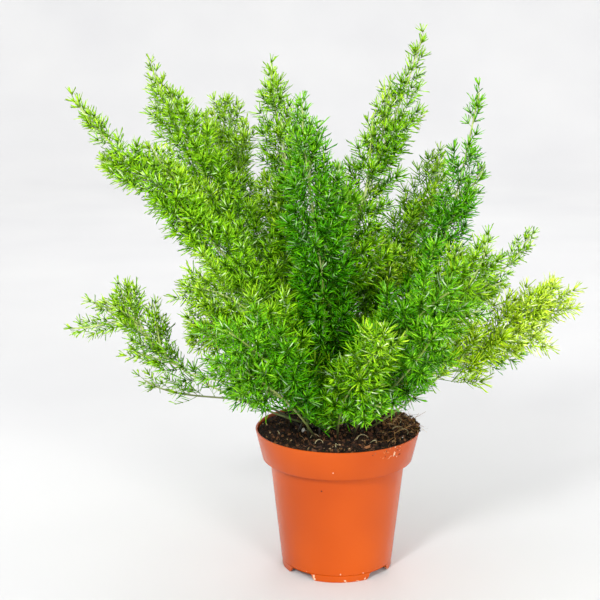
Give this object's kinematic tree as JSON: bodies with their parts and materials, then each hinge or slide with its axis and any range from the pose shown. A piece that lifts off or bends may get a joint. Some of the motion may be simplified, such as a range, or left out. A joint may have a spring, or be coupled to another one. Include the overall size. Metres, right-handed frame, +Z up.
{
  "type": "potted foxtail fern",
  "caption": "Potted plant with upright and arching plumes of fine needle leaves, standing in a round tapered nursery pot with a collar.",
  "frame": {"origin": "on the ground under the pot's axis, at the middle of the plant's box", "axes": "+Z up along the pot's axis, -Y towards the front that the picture shows, +X to the picture's right"},
  "size_m": [0.3946, 0.3115, 0.4321],
  "materials": {
    "pot_plastic": "terracotta-orange moulded plastic with a satin gloss",
    "soil": "damp dark potting mix of peat, bark and coir, rough",
    "foliage_deep": "living needles, deep green, waxy",
    "foliage_mid": "living needles, fresh green, waxy",
    "foliage_yellow": "living needles, young yellow-green, waxy"
  },
  "bodies": {
    "root": {"pot": "pot_plastic", "soil": "soil", "plume_centre": "foliage_deep", "plume_tall_right": "foliage_mid", "plume_tall_left_centre": "foliage_mid", "plume_upper_left": "foliage_mid", "plume_far_left": "foliage_mid", "plume_right_upright": "foliage_deep", "plume_right_yellow": "foliage_yellow", "plume_left_yellow": "foliage_yellow", "plume_right_star": "foliage_mid", "plume_front_left_star": "foliage_mid", "plume_low_left_arch": "foliage_mid", "plume_right_spiky": "foliage_yellow", "plume_right_small": "foliage_mid", "plume_rear_left_short": "foliage_mid", "plume_right_light_tip": "foliage_mid", "plume_front_right": "foliage_yellow", "plume_low_right": "foliage_mid", "plume_low_left": "foliage_mid", "plume_right_low_star": "foliage_mid", "plume_low_left_star": "foliage_deep", "plume_front_low": "foliage_deep", "plume_back": "foliage_mid", "plume_back_left": "foliage_mid", "plume_back_right": "foliage_mid", "plume_back_low_left": "foliage_deep", "plume_back_low_right": "foliage_deep", "plume_back_low": "foliage_deep"}
  },
  "joints": []
}
